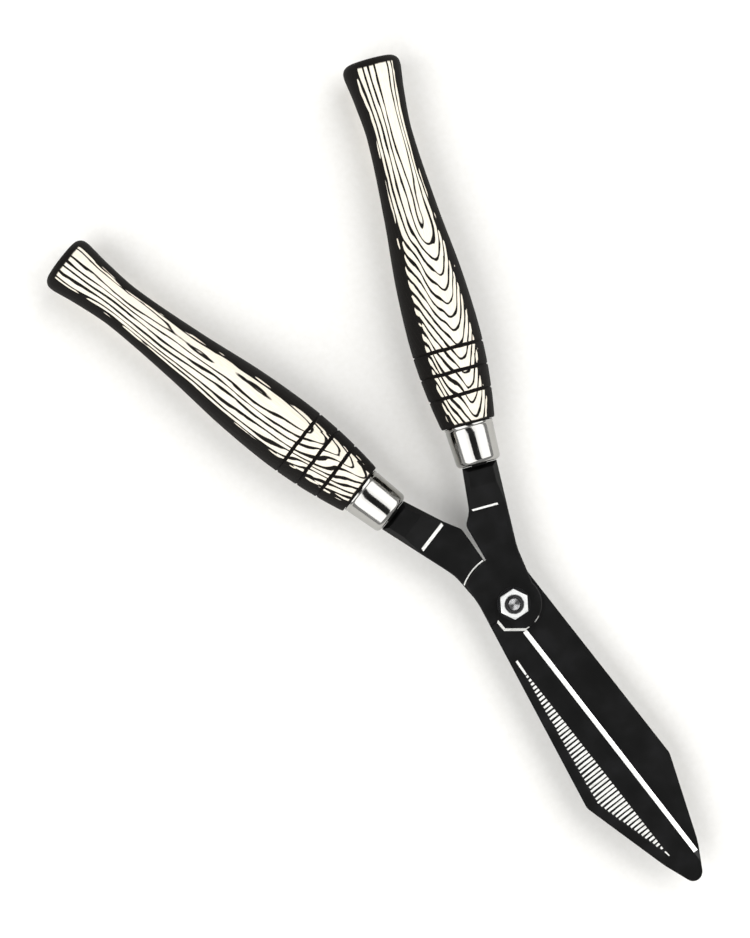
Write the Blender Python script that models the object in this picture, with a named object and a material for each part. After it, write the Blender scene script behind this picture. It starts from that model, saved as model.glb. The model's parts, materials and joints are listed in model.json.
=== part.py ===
"""Two-handed garden shears: two forged steel halves, turned ash handles and a bolted pivot.

The pivot's axis is Z through the origin, +X runs to the blade tips, and the blades lie flat.
The origin is the centre of the pivot bolt head's flat underside.
Each half is modelled in its own frame, with the plane where the halves meet at z = 0,
its handle on the +Y side and its blade's spine on the -Y side. The lower half is the
same frame turned over about X.
"""
import math

import bmesh
import bpy
from mathutils import Matrix, Vector

# Fits
GAP = 0.0003                    # left between faces that touch
RUNNING_CLEARANCE = 0.00015     # round the pivot bolt, in the half that turns
LAP_CLEARANCE = 0.0005          # between a boss's round end and the other half's shoulder

# Forged halves, in plan
BLADE_LENGTH = 0.1995           # pivot to tip
TIP_RADIUS = 0.0055
NOSE_SLOPE = 0.47               # rise of the nose's sides, for each unit along the blade
BELLY_SETBACK = 0.073           # tip to the blade's widest place
SHOULDER_SETBACK = 0.019        # tip to where the nose narrows faster
EDGE_SETBACK = 0.0145           # tip to the end of the cutting edge
EDGE_END_Y = 0.0096             # cutting edge past the centre line, at its end
SPINE_HEEL_X = -0.010           # blade's narrowest place, beside the pivot
SPINE_HEEL_Y = 0.0178
BOSS_RADIUS = 0.017             # front of the boss, round the pivot
BOSS_ARC_END = math.radians(105)  # where the boss's front runs out into the arm
LAP_RADIUS = 0.0308             # back of the boss, round the pivot
CROTCH_X = -0.0545              # where the arms part
HANDLE_ANGLE = math.radians(18.6)
HANDLE_OFFSET = 0.0021          # handle axis, outward from the pivot

# What differs between the two hand-forged halves; y is across the tool, or across the handle for the arm
HALVES = {
    "upper": {
        "turned_over": False,
        "edge_heel_y": -0.0022,     # cutting edge where it leaves the boss
        "belly_y": 0.0318,          # spine at the blade's widest place
        "stop_y": 0.0008,           # face that meets the other arm, at the shoulder
        "crotch_y": 0.0022,         # the same face, where the arms part
        "neck": (0.032, 0.0088),    # arm's narrowest place: along the handle, and its outer side
        "crease": (0.0605, 0.0132),  # where the flat arm starts to thicken, and its inner side
        "bolster_end": 0.0860,      # pivot to the bolster's end face, along the handle
    },
    "lower": {
        "turned_over": True,
        "edge_heel_y": 0.0070,
        "belly_y": 0.0280,
        "stop_y": 0.0004,
        "crotch_y": 0.0010,
        "neck": (0.038, 0.0062),
        "crease": (0.0630, 0.0155),
        "bolster_end": 0.0897,
    },
}

# Forged halves, in thickness
ARM_HALF = 0.0046
BOLSTER_HALF = 0.0070
BOLSTER_WIDTH = 0.0212
BOLSTER_RAMP = 0.013            # length of the slope from arm to bolster
RIM_CHAMFER = 0.0030
BLADE_HEEL_THICKNESS = 0.0030
BLADE_TIP_THICKNESS = 0.0020
STEP_RUN = 0.0018               # slope of the step between boss and blade
BEVEL_WIDTH = 0.0028            # ground cutting bevel
EDGE_START_SHARE = 0.3          # bevel's start, as a share of the step's run
BEVEL_LAND = 0.0009             # thickness left at the cutting edge
HOLLOW_DEPTH = 0.0007
HOLLOW_MARGIN = 0.0063          # spine to the hollow, at the belly
HOLLOW_START = (0.028, -0.0175)
HOLLOW_BELLY_LEAD = 0.001       # hollow's widest place, ahead of the blade's
HOLLOW_END_SETBACK = 0.021      # tip to the end of the hollow
HOLLOW_END_Y = -0.0065
STEP_LINE = (                   # top of the step, in plan, ahead of the pivot
    (0.003, -0.0132), (0.0094, -0.0124), (0.0154, -0.0034),
)
STEP_SPINE_X = -0.003           # the same line's end, far past the spine
STEP_BOSS_Y = -0.0005           # where it meets the boss's round front
STEP_DIRECTION = (0.55, -0.83)  # which way the step falls

# Roundings of the forged outline's corners
EDGE_END_ROUNDING = 0.004
NECK_ROUNDING = 0.030
CREASE_ROUNDING = 0.012
CROTCH_ROUNDING = 0.005
HEEL_ROUNDING = 0.030
BELLY_ROUNDING = 0.007
SHOULDER_ROUNDING = 0.040

# Ferrule, tang and handle, along the handle axis
FERRULE_LENGTH = 0.0247
FERRULE_WALL = 0.0012
FERRULE_SMALL_RADIUS = 0.0135
FERRULE_LARGE_RADIUS = 0.0148
FERRULE_CORNER = 0.0030
TANG_LENGTH = 0.085
TANG_ROOT_HALF = 0.0046
TANG_TIP_HALF = 0.0020
HANDLE_LENGTH = 0.2258          # wooden shoulder to butt
SHOULDER_RADIUS = 0.0165
SHOULDER_EASE = 0.0008          # taken off the radius at the shoulder's rim
SWELL_RADIUS = 0.0218
SWELL_FROM_SHOULDER = 0.057
WAIST_RADIUS = 0.0138
WAIST_FROM_BUTT = 0.047
BUTT_RADIUS = 0.0176
BUTT_CORNER = 0.0055
GROOVE_DEPTH = 0.0006
GROOVE_WIDTH = 0.0014
GROOVES_FROM_SHOULDER = (0.018, 0.032, 0.046)
PIN_RADIUS = 0.0012
PIN_HEAD_RADIUS = 0.0020
PIN_HEAD_HEIGHT = 0.0006
PIN_DEPTH = 0.0070

# Pivot hardware
BOLT_RADIUS = 0.0050
BOLT_HEAD_RADIUS = 0.0100
BOLT_HEAD_HEIGHT = 0.0040
BOLT_NECK_HEIGHT = 0.0028
BOLT_OVERHANG = 0.0014          # bolt end past the nut
BOLT_CHAMFER = 0.0010
WASHER_RADIUS = 0.0100
WASHER_THICKNESS = 0.0015
SPRING_RADIUS = 0.0090
SPRING_THICKNESS = 0.0020
SPRING_SPLIT = math.radians(14)
NUT_ACROSS_FLATS = 0.0160
NUT_HEIGHT = 0.0060

# What follows from them
MEETING_Z = BOLT_HEAD_HEIGHT + ARM_HALF
INNER_FACE = GAP / 2
BLADE_HEEL_TOP = INNER_FACE + BLADE_HEEL_THICKNESS
BLADE_TIP_TOP = INNER_FACE + BLADE_TIP_THICKNESS
TIP_CORNER_X = BLADE_LENGTH + TIP_RADIUS * (math.hypot(1, NOSE_SLOPE) / NOSE_SLOPE - 1)
FERRULE_START = GAP             # these six are counted from the bolster's end face
FERRULE_END = FERRULE_START + FERRULE_LENGTH
SHOULDER_START = FERRULE_END + GAP
BUTT_END = SHOULDER_START + HANDLE_LENGTH
BODY_END = BUTT_END - 1.4 * BUTT_CORNER
FAR = 0.4                       # reach of a cutter past the part
ROUND_STEPS = 32
COLOURS = {                     # colour, metallic, roughness
    "black_steel": ((0.015, 0.015, 0.016), 0.6, 0.45),
    "nickel_steel": ((0.72, 0.72, 0.70), 1.0, 0.25),
    "zinc_steel": ((0.62, 0.63, 0.64), 1.0, 0.30),
    "black_oxide": ((0.03, 0.03, 0.03), 0.8, 0.40),
    "ash_wood": ((0.78, 0.66, 0.46), 0.0, 0.45),
}


# Scene helpers

def clear_scene():
    for item in list(bpy.data.objects):
        bpy.data.objects.remove(item, do_unlink=True)


def steel_or_wood(name):
    material = bpy.data.materials.get(name) or bpy.data.materials.new(name)
    colour, metallic, roughness = COLOURS[name]
    material.use_nodes = True
    shader = material.node_tree.nodes["Principled BSDF"]
    shader.inputs["Base Color"].default_value = (*colour, 1)
    shader.inputs["Metallic"].default_value = metallic
    shader.inputs["Roughness"].default_value = roughness
    return material


def add_object(name, bm, parent, material=None, place=None):
    """Make an object of a bmesh; place moves the mesh within the parent's frame."""
    if place:
        bm.transform(place)
    bm.normal_update()
    bmesh.ops.recalc_face_normals(bm, faces=bm.faces)
    mesh = bpy.data.meshes.new(name)
    bm.to_mesh(mesh)
    bm.free()
    item = bpy.data.objects.new(name, mesh)
    bpy.context.scene.collection.objects.link(item)
    item.parent = parent
    if material:
        mesh.materials.append(steel_or_wood(material))
        mesh.shade_smooth()
        mesh.set_sharp_from_angle(angle=math.radians(30))
    else:
        item.hide_render = True
        item.display_type = "WIRE"
    return item


def cut(item, cutter, operation="DIFFERENCE"):
    boolean = item.modifiers.new(cutter.name, "BOOLEAN")
    boolean.operation = operation
    boolean.solver = "EXACT"
    boolean.object = cutter


# Shapes

def rounded(corners):
    """Outline through corners (x, y, radius), each turned by an arc."""
    points = []
    for index, (x, y, radius) in enumerate(corners):
        here = Vector((x, y))
        if not radius:
            points.append(here)
            continue
        back = (Vector(corners[index - 1][:2]) - here).normalized()
        ahead = (Vector(corners[(index + 1) % len(corners)][:2]) - here).normalized()
        half = back.angle(ahead) / 2
        centre = here + (back + ahead).normalized() * radius / math.sin(half)
        start = here + back * radius / math.tan(half) - centre
        end = here + ahead * radius / math.tan(half) - centre
        sweep = math.atan2(start.cross(end), start.dot(end))
        steps = max(1, math.ceil(abs(sweep) / math.radians(12)))
        for step in range(steps + 1):
            points.append(centre + Matrix.Rotation(sweep * step / steps, 2) @ start)
    return points


def inset(outline, distance):
    """Anticlockwise outline with every side moved inwards."""
    points = []
    for index, here in enumerate(outline):
        back = (here - outline[index - 1]).normalized()
        ahead = (outline[(index + 1) % len(outline)] - here).normalized()
        inward = Vector((-back.y - ahead.y, back.x + ahead.x))
        points.append(here + inward * distance / (1 + back.dot(ahead)))
    return points


def arc(radius, start, end, step=math.radians(7.5)):
    """Points round the pivot, between two angles."""
    count = max(1, math.ceil(abs(end - start) / step))
    angles = [start + (end - start) * index / count for index in range(count + 1)]
    return [(radius * math.cos(angle), radius * math.sin(angle)) for angle in angles]


def lofted(rings):
    """Closed solid through rings of equal count, with flat ends."""
    bm = bmesh.new()
    loops = [[bm.verts.new(point) for point in ring] for ring in rings]
    for near, far in zip(loops, loops[1:]):
        for index in range(len(near)):
            bm.faces.new((near[index - 1], near[index], far[index], far[index - 1]))
    bm.faces.new(list(reversed(loops[0])))
    bm.faces.new(loops[-1])
    return bm


def square(half):
    return [(-half, -half), (half, -half), (half, half), (-half, half)]


def prism(outline, low, high):
    return lofted([[(point[0], point[1], z) for point in outline] for z in (low, high)])


def turned(profile, steps=ROUND_STEPS):
    """Solid turned about Z from (radius, z) points; a closed profile makes a ring."""
    bm = bmesh.new()
    verts = [bm.verts.new((radius, 0, z)) for radius, z in profile]
    closed = profile[0][0] > 0
    pairs = list(zip(verts, verts[1:])) + ([(verts[-1], verts[0])] if closed else [])
    edges = [bm.edges.new(pair) for pair in pairs]
    bmesh.ops.spin(bm, geom=verts + edges, axis=(0, 0, 1), cent=(0, 0, 0), dvec=(0, 0, 0),
                   angle=math.tau, steps=steps, use_merge=True, use_duplicate=False)
    bmesh.ops.remove_doubles(bm, verts=bm.verts, dist=1e-6)
    return bm


def on_handle(along, outward, height=0.0):
    """Point given along the handle axis, across it and above it."""
    along_x, along_y = -math.cos(HANDLE_ANGLE), math.sin(HANDLE_ANGLE)
    across = HANDLE_OFFSET + outward
    return (along_x * along + along_y * across, along_y * along - along_x * across, height)


def handle_place(side):
    """Turns a shape made about Z, counted from the bolster's end, onto the handle axis."""
    origin = Vector(on_handle(HALVES[side]["bolster_end"], 0))
    along = Vector(on_handle(1, 0)) - Vector(on_handle(0, 0))
    outward = Vector(on_handle(0, 1)) - Vector(on_handle(0, 0))
    turn = Matrix((outward, along.cross(outward), along)).transposed()
    return Matrix.Translation(origin) @ turn.to_4x4()


# Forged halves

def blade_top(x):
    """Height of the blade's outer face, which falls towards the tip."""
    share = (x - BOSS_RADIUS) / (BLADE_LENGTH - BOSS_RADIUS)
    return BLADE_HEEL_TOP + (BLADE_TIP_TOP - BLADE_HEEL_TOP) * share


def edge_ends(sizes):
    """Heel and end of the cutting edge, in plan."""
    heel_y = sizes["edge_heel_y"]
    heel = Vector((math.sqrt(BOSS_RADIUS ** 2 - heel_y ** 2), heel_y))
    return heel, Vector((BLADE_LENGTH - EDGE_SETBACK, EDGE_END_Y))


def half_outline(sizes):
    """Plan of blade, boss, arm and bolster, anticlockwise from the tip."""
    heel, edge_end = edge_ends(sizes)
    spine_angle = math.pi + math.asin(SPINE_HEEL_Y / LAP_RADIUS)
    stop_angle = math.pi - math.asin(sizes["stop_y"] / LAP_RADIUS)
    shoulder_x = BLADE_LENGTH - SHOULDER_SETBACK
    shoulder_y = -(TIP_CORNER_X - shoulder_x) * NOSE_SLOPE
    corners = [(TIP_CORNER_X, 0, TIP_RADIUS), (*edge_end, EDGE_END_ROUNDING)]
    corners += [(x, y, 0) for x, y in arc(BOSS_RADIUS, math.atan2(heel.y, heel.x), BOSS_ARC_END)]
    (neck_along, neck_y), (crease_along, crease_y) = sizes["neck"], sizes["crease"]
    corners += [
        (*on_handle(neck_along, neck_y)[:2], NECK_ROUNDING),
        (*on_handle(sizes["bolster_end"], BOLSTER_WIDTH / 2)[:2], 0),
        (*on_handle(sizes["bolster_end"], -BOLSTER_WIDTH / 2)[:2], 0),
        (*on_handle(crease_along, -crease_y)[:2], CREASE_ROUNDING),
        (CROTCH_X, sizes["crotch_y"], CROTCH_ROUNDING),
    ]
    corners += [(x, y, 0) for x, y in arc(LAP_RADIUS, stop_angle, spine_angle)]
    corners += [
        (SPINE_HEEL_X, -SPINE_HEEL_Y, HEEL_ROUNDING),
        (BLADE_LENGTH - BELLY_SETBACK, -sizes["belly_y"], BELLY_ROUNDING),
        (shoulder_x, shoulder_y, SHOULDER_ROUNDING),
    ]
    return rounded(corners)


def half_blank(sizes):
    """Bar of the full bolster thickness, with its rims chamfered."""
    outline = half_outline(sizes)
    face = inset(outline, RIM_CHAMFER)
    side_height = BOLSTER_HALF - RIM_CHAMFER
    levels = [(face, -BOLSTER_HALF), (outline, -side_height),
              (outline, side_height), (face, BOLSTER_HALF)]
    return lofted([[(*point, z) for point in ring] for ring, z in levels])


def arm_relief(sizes):
    """Takes the blank down to the arm's thickness on both faces, with a ramp to the bolster."""
    crease_along = sizes["crease"][0]
    ramp_end = crease_along + 2 * BOLSTER_RAMP
    ramp_top = ARM_HALF + 2 * (BOLSTER_HALF - ARM_HALF)
    side = [(-FAR, ARM_HALF), (crease_along, ARM_HALF), (ramp_end, ramp_top), (-FAR, ramp_top)]
    bm = lofted([[on_handle(along, outward, z) for along, z in side] for outward in (-FAR, FAR)])
    both = bmesh.ops.duplicate(bm, geom=bm.verts[:] + bm.edges[:] + bm.faces[:])["geom"]
    bmesh.ops.scale(bm, vec=(1, 1, -1), verts=[v for v in both if isinstance(v, bmesh.types.BMVert)])
    return bm


def lap_relief():
    """Clears the other half: a disc round the pivot, and everything ahead of it."""
    shoulder = LAP_RADIUS + LAP_CLEARANCE
    outline = arc(shoulder, math.pi / 2, 3 * math.pi / 2)
    outline += [(0, -FAR), (FAR, -FAR), (FAR, FAR), (0, FAR)]
    return prism(outline, -FAR, INNER_FACE)


def blade_relief():
    """Thins the blade ahead of a sloped step across the boss."""
    front = BOSS_RADIUS + GAP
    step = [(STEP_SPINE_X, -FAR), *STEP_LINE, (front, STEP_BOSS_Y), (front, FAR), (FAR, FAR), (FAR, -FAR)]
    run = Vector(STEP_DIRECTION) * STEP_RUN
    floor = [(x + run.x, y + run.y, blade_top(x + run.x)) for x, y in step]
    face = [(x, y, ARM_HALF) for x, y in step]
    above = [(x, y, FAR) for x, y in step]
    return lofted([floor, face, above])


def edge_relief(sizes):
    """Grinds the bevel along the cutting edge; it runs out on the nose."""
    heel, end = edge_ends(sizes)
    along = (end - heel).normalized()
    inward = Vector((along.y, -along.x))
    overshoot = 0.2
    rings = []
    for distance in (STEP_RUN * EDGE_START_SHARE, (end - heel).length + EDGE_SETBACK):
        edge = heel + along * distance
        drop = blade_top(edge.x) - INNER_FACE - BEVEL_LAND
        inner = edge + inward * BEVEL_WIDTH * (1 + overshoot)
        outer = edge - inward * BEVEL_WIDTH * overshoot
        top = blade_top(edge.x) + drop * overshoot
        low = INNER_FACE + BEVEL_LAND - drop * overshoot
        rings.append([(*inner, top), (*outer, low), (*outer, top)])
    return lofted(rings)


def hollow_relief(sizes):
    """Shallow ground hollow between the spine and the blade's middle."""
    start = Vector(HOLLOW_START)
    belly_x = BLADE_LENGTH - BELLY_SETBACK + HOLLOW_BELLY_LEAD
    belly = Vector((belly_x, HOLLOW_MARGIN - sizes["belly_y"]))
    end = Vector((BLADE_LENGTH - HOLLOW_END_SETBACK, HOLLOW_END_Y))
    belly_share = (belly.x - start.x) / (end.x - start.x)
    full_width = (start.lerp(end, belly_share) - belly).length
    rings = []
    steps = 16
    trim = 0.01     # left off at both ends, where the hollow has no width
    for index in range(steps + 1):
        share = trim + (1 - 2 * trim) * index / steps
        inner = start.lerp(end, share)
        if share < belly_share:
            outer = start.lerp(belly, share / belly_share)
        else:
            outer = belly.lerp(end, (share - belly_share) / (1 - belly_share))
        depth = HOLLOW_DEPTH * (outer - inner).length / full_width
        ring = [(*inner, ARM_HALF)]
        for across in (0.0, 0.2, 0.5, 0.8, 1.0):
            point = inner.lerp(outer, across)
            dish = 4 * across * (1 - across)
            ring.append((*point, blade_top(point.x) - depth * dish))
        ring.append((*outer, ARM_HALF))
        rings.append(ring)
    return lofted(rings)


def tang(grow=0.0):
    """Tapered square tang along Z from the bolster's end; grown, it is the bore that holds it."""
    slope = (TANG_ROOT_HALF - TANG_TIP_HALF) / TANG_LENGTH
    rings = []
    for along in (-TANG_ROOT_HALF, TANG_LENGTH + grow):
        half = TANG_ROOT_HALF - slope * along + grow
        rings.append([(x, y, along) for x, y in square(half)])
    return lofted(rings)


def add_forged_half(side, parent):
    sizes = HALVES[side]
    name = side + "_blade"
    blade = add_object(name, half_blank(sizes), parent, "black_steel")
    reliefs = {"arm": arm_relief(sizes), "lap": lap_relief(), "face": blade_relief(),
               "edge": edge_relief(sizes), "hollow": hollow_relief(sizes)}
    for place, relief in reliefs.items():
        cut(blade, add_object(side + "_" + place + "_cutter", relief, parent))
    if sizes["turned_over"]:
        hole = prism(square(BOLT_RADIUS + GAP), -FAR, FAR)
    else:
        hole = prism(arc(BOLT_RADIUS + RUNNING_CLEARANCE, 0, math.tau)[:-1], -FAR, FAR)
    cut(blade, add_object(side + "_hole_cutter", hole, parent))
    cut(blade, add_object(side + "_tang_blank", tang(), parent, place=handle_place(side)), "UNION")


# Handles and ferrules

def ferrule_radius(along):
    share = (along - FERRULE_START) / FERRULE_LENGTH
    return FERRULE_SMALL_RADIUS + (FERRULE_LARGE_RADIUS - FERRULE_SMALL_RADIUS) * share


def ferrule_profile():
    """Cupped tube: the tang passes its small end, and the wood fills the rest."""
    tang_corner = TANG_ROOT_HALF * math.sqrt(2) + GAP
    outside = [(ferrule_radius(FERRULE_END), FERRULE_END)]
    for index in range(5):
        angle = math.radians(22.5 * index)
        along = FERRULE_START + FERRULE_CORNER * (1 - math.sin(angle))
        outside.append((ferrule_radius(along) - FERRULE_CORNER * (1 - math.cos(angle)), along))
    wall_start = FERRULE_START + FERRULE_WALL
    inside = [
        (tang_corner, FERRULE_START),
        (tang_corner, wall_start),
        (ferrule_radius(wall_start) - FERRULE_CORNER, wall_start),
        (ferrule_radius(FERRULE_START + FERRULE_CORNER) - FERRULE_WALL, FERRULE_START + FERRULE_CORNER),
        (ferrule_radius(FERRULE_END) - FERRULE_WALL, FERRULE_END),
    ]
    return outside + inside


def add_ferrule(side, parent, pin_hole):
    place = handle_place(side)
    ferrule = add_object(side + "_ferrule", turned(ferrule_profile()), parent, "nickel_steel", place)
    cut(ferrule, pin_hole)


def wood_keys():
    """Distance from the bolster and radius, at the places that give the handle its form."""
    return [
        (SHOULDER_START, SHOULDER_RADIUS),
        (SHOULDER_START + SWELL_FROM_SHOULDER * 0.25, SHOULDER_RADIUS + 0.0023),
        (SHOULDER_START + SWELL_FROM_SHOULDER * 0.58, SWELL_RADIUS - 0.0009),
        (SHOULDER_START + SWELL_FROM_SHOULDER, SWELL_RADIUS),
        (SHOULDER_START + SWELL_FROM_SHOULDER * 1.6, SWELL_RADIUS - 0.0014),
        (BUTT_END - WAIST_FROM_BUTT * 2.02, WAIST_RADIUS + 0.0028),
        (BUTT_END - WAIST_FROM_BUTT, WAIST_RADIUS),
        (BUTT_END - WAIST_FROM_BUTT * 0.49, WAIST_RADIUS + 0.0017),
        (BODY_END, BUTT_RADIUS),
    ]


def wood_radius(along):
    """Smooth curve through the handle's keys."""
    keys = wood_keys()
    index = max(0, min(len(keys) - 2, sum(1 for place, _ in keys if place <= along) - 1))

    def slope(at):
        low, high = keys[max(0, at - 1)], keys[min(len(keys) - 1, at + 1)]
        return (high[1] - low[1]) / (high[0] - low[0])

    (start, near), (end, far) = keys[index], keys[index + 1]
    span = end - start
    t = (along - start) / span
    return ((2 * t ** 3 - 3 * t ** 2 + 1) * near + (t ** 3 - 2 * t ** 2 + t) * span * slope(index)
            + (3 * t ** 2 - 2 * t ** 3) * far + (t ** 3 - t ** 2) * span * slope(index + 1))


def wood_profile():
    """Spigot inside the ferrule, shoulder, grooved swell, waist and rounded butt."""
    inner_wall = FERRULE_WALL + GAP
    spigot_start = FERRULE_START + FERRULE_CORNER
    profile = [
        (0, spigot_start),
        (ferrule_radius(spigot_start) - inner_wall, spigot_start),
        (ferrule_radius(FERRULE_END) - inner_wall, SHOULDER_START),
        (SHOULDER_RADIUS - SHOULDER_EASE, SHOULDER_START),
    ]
    steps = 20
    pitch = (BODY_END - SHOULDER_START) / steps
    places = [SHOULDER_START + pitch * (index + 0.25) for index in range(steps)]
    grooves = [SHOULDER_START + groove for groove in GROOVES_FROM_SHOULDER]
    places = [place for place in places if min(abs(place - groove) for groove in grooves) > GROOVE_WIDTH]
    body = [(wood_radius(place), place) for place in places + [BODY_END]]
    for groove in grooves:
        for offset, depth in ((-GROOVE_WIDTH / 2, 0), (0, GROOVE_DEPTH), (GROOVE_WIDTH / 2, 0)):
            body.append((wood_radius(groove + offset) - depth, groove + offset))
    profile += sorted(body, key=lambda point: point[1])
    for index in range(5):
        angle = math.radians(22.5 * index)
        profile.append((BUTT_RADIUS - BUTT_CORNER * (1 - math.cos(angle)),
                        BUTT_END - BUTT_CORNER * (1 - math.sin(angle))))
    return profile + [(0, BUTT_END)]


def add_handle(side, parent, pin_hole):
    place = handle_place(side)
    handle = add_object(side + "_handle", turned(wood_profile()), parent, "ash_wood", place)
    cut(handle, add_object(side + "_bore_cutter", tang(GAP), parent, place=place))
    cut(handle, pin_hole)


def pin_place(side):
    """Stands a pin, modelled along Z from its head's seat, on the ferrule's underside."""
    middle = FERRULE_START + FERRULE_LENGTH / 2
    seat = ferrule_radius(middle) + GAP
    down = 1 if HALVES[side]["turned_over"] else -1
    foot = on_handle(HALVES[side]["bolster_end"] + middle, 0, down * seat)
    return Matrix.Translation(foot) @ Matrix.Diagonal((1, 1, down, 1))


def add_ferrule_pin(side, parent):
    """Nail that holds the ferrule to the wood; returns the cutter for its hole."""
    profile = [
        (0, PIN_HEAD_HEIGHT),
        (PIN_HEAD_RADIUS * 0.7, PIN_HEAD_HEIGHT),
        (PIN_HEAD_RADIUS, PIN_HEAD_HEIGHT * 0.4),
        (PIN_HEAD_RADIUS, 0),
        (PIN_RADIUS, 0),
        (PIN_RADIUS, -PIN_DEPTH + PIN_RADIUS),
        (0, -PIN_DEPTH),
    ]
    place = pin_place(side)
    add_object(side + "_ferrule_pin", turned(profile, 16), parent, "nickel_steel", place)
    width = PIN_RADIUS + GAP
    hole = turned([(0, PIN_DEPTH), (width, PIN_DEPTH), (width, -PIN_DEPTH), (0, -PIN_DEPTH - GAP)], 16)
    return add_object(side + "_pin_cutter", hole, parent, place=place)


# Pivot hardware, stacked up from the bolt head

def add_pivot():
    stack_top = MEETING_Z + ARM_HALF
    washer_z = stack_top + GAP
    spring_z = washer_z + WASHER_THICKNESS + GAP
    nut_z = spring_z + SPRING_THICKNESS + GAP
    bolt_end = nut_z + NUT_HEIGHT + BOLT_OVERHANG
    head_top = BOLT_HEAD_HEIGHT - GAP
    bolt = add_object("pivot_bolt", turned([
        (0, 0),
        (BOLT_HEAD_RADIUS - BOLT_CHAMFER, 0),
        (BOLT_HEAD_RADIUS, BOLT_CHAMFER),
        (BOLT_HEAD_RADIUS, head_top),
        (BOLT_RADIUS, head_top),
        (BOLT_RADIUS, bolt_end - BOLT_CHAMFER),
        (BOLT_RADIUS - BOLT_CHAMFER, bolt_end),
        (0, bolt_end),
    ], 48), None, "black_oxide")
    neck = prism(square(BOLT_RADIUS), BOLT_CHAMFER, head_top + BOLT_NECK_HEIGHT)
    cut(bolt, add_object("bolt_neck_blank", neck, None), "UNION")

    hole = BOLT_RADIUS + GAP
    washer_top = washer_z + WASHER_THICKNESS
    washer = turned([(hole, washer_z), (WASHER_RADIUS, washer_z), (WASHER_RADIUS, washer_top),
                     (hole, washer_top)])
    add_object("pivot_washer", washer, None, "black_oxide")

    split = SPRING_SPLIT / 2
    ring = arc(SPRING_RADIUS, split, math.tau - split) + arc(hole, math.tau - split, split)
    add_object("spring_washer", prism(ring, spring_z, spring_z + SPRING_THICKNESS), None, "black_oxide")

    nut_radius = NUT_ACROSS_FLATS / math.sqrt(3)
    hexagon = arc(nut_radius, math.pi / 2, math.pi / 2 + math.tau, math.tau / 6)[:-1]
    nut = add_object("pivot_nut", prism(hexagon, nut_z, nut_z + NUT_HEIGHT), None, "zinc_steel")
    thread = prism(arc(hole, 0, math.tau)[:-1], -FAR, FAR)
    cut(nut, add_object("nut_hole_cutter", thread, None))


def add_half(side):
    """One half of the shears, on an empty that stands on the pivot's axis."""
    frame = bpy.data.objects.new(side + "_half", None)
    bpy.context.scene.collection.objects.link(frame)
    frame.location = (0, 0, MEETING_Z)
    frame.rotation_euler = (math.pi if HALVES[side]["turned_over"] else 0, 0, 0)
    add_forged_half(side, frame)
    pin_hole = add_ferrule_pin(side, frame)
    add_ferrule(side, frame, pin_hole)
    add_handle(side, frame, pin_hole)


clear_scene()
for half in HALVES:
    add_half(half)
add_pivot()
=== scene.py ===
import json
import math

import bmesh
import bpy
from mathutils import Matrix, Vector, noise
from mathutils.bvhtree import BVHTree


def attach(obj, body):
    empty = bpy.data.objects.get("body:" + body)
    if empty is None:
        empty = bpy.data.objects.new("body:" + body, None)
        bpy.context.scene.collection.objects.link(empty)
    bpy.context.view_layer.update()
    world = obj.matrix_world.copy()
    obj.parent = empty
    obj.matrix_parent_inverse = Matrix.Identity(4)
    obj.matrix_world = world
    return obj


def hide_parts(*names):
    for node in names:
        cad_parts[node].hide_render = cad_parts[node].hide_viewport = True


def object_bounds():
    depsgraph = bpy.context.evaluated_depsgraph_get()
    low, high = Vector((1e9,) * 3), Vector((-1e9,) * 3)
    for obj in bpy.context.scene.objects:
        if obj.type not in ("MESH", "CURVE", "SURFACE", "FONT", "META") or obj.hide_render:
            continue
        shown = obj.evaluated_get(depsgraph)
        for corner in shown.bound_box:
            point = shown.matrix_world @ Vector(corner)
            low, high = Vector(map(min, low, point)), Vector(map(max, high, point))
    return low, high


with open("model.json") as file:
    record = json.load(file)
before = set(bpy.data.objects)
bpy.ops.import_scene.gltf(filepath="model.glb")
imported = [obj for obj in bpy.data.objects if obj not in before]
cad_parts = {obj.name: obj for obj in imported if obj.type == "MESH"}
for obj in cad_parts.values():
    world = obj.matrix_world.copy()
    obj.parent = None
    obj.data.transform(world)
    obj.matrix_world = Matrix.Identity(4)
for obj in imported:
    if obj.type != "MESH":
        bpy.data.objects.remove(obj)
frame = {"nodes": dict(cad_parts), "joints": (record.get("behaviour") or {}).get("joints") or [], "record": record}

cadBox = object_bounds()
mm = 0.001
weld = 0.001 * mm        # points closer than this are merged
nearly = 0.02 * mm       # heights closer than this count as the same
up = Vector((0, 0, 1))
scene = bpy.context.scene
meetingZ = frame["joints"][0]["pos_m"][2]    # the plane where the two halves slide
mounts = {mount["name"]: mount for mount in frame["record"]["mounts"]}


# Shared helpers

# an sRGB hex colour as the linear one that a shader takes
def toLinear(hexCode):
    channels = [int(hexCode[at:at + 2], 16) / 255 for at in (1, 3, 5)]
    return tuple(c / 12.92 if c <= 0.04045 else ((c + 0.055) / 1.055) ** 2.4 for c in channels) + (1,)


def addNode(tree, kind, inputs=None, **settings):
    node = tree.nodes.new("ShaderNode" + kind)
    for name, value in settings.items():
        setattr(node, name, value)
    for socket, value in (inputs or {}).items():
        if isinstance(value, bpy.types.Node):
            value = value.outputs[0]
        if isinstance(value, bpy.types.NodeSocket):
            tree.links.new(value, node.inputs[socket])
        else:
            node.inputs[socket].default_value = toLinear(value) if isinstance(value, str) else value
    return node


def newMaterial(name, colour, metallic=0.0, roughness=0.5):
    material = bpy.data.materials.new(name)
    material.use_nodes = True
    tree = material.node_tree
    shader = tree.nodes["Principled BSDF"]
    shader.inputs["Base Color"].default_value = toLinear(colour)
    shader.inputs["Metallic"].default_value = metallic
    shader.inputs["Roughness"].default_value = roughness
    return material, tree, shader


# scale of a pattern that is one size along X and another across it
def stretched(along, across):
    return 1 / along, 1 / across, 1 / across


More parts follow.
